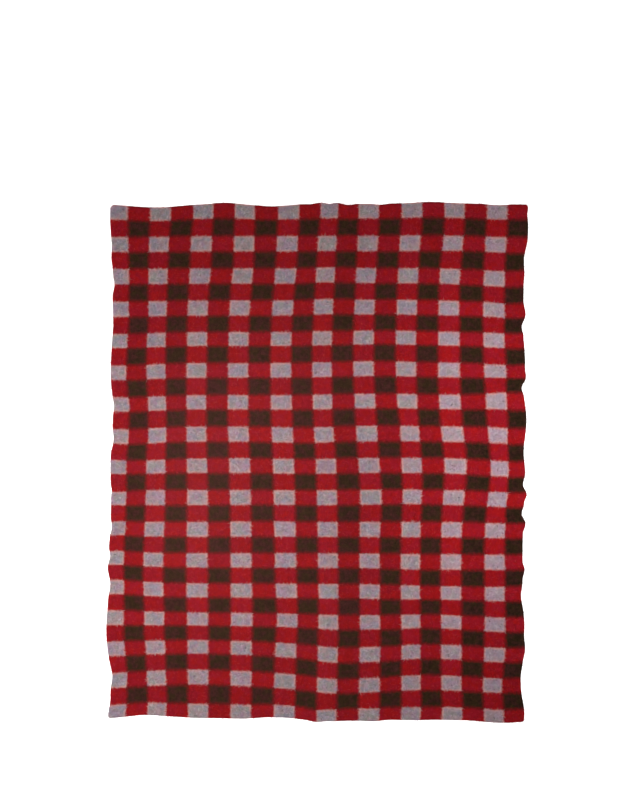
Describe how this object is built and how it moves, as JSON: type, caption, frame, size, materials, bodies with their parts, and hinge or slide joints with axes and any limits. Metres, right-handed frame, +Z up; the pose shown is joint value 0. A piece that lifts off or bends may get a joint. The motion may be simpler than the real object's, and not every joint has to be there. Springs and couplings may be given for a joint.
{
  "type": "blanket",
  "caption": "Checked wool blanket laid out flat: one thick brushed sheet with plain wavy edges and low soft folds.",
  "frame": {"origin": "on the surface the blanket lies on, under the middle of its box", "axes": "+X across the blanket, +Y along its length towards the head edge, +Z up out of its face"},
  "size_m": [1.641, 2.0254, 0.0132],
  "materials": {
    "wool": "brushed wool in grey, red and dark brown checks"
  },
  "bodies": {
    "root": {"blanket": "wool"}
  },
  "joints": []
}
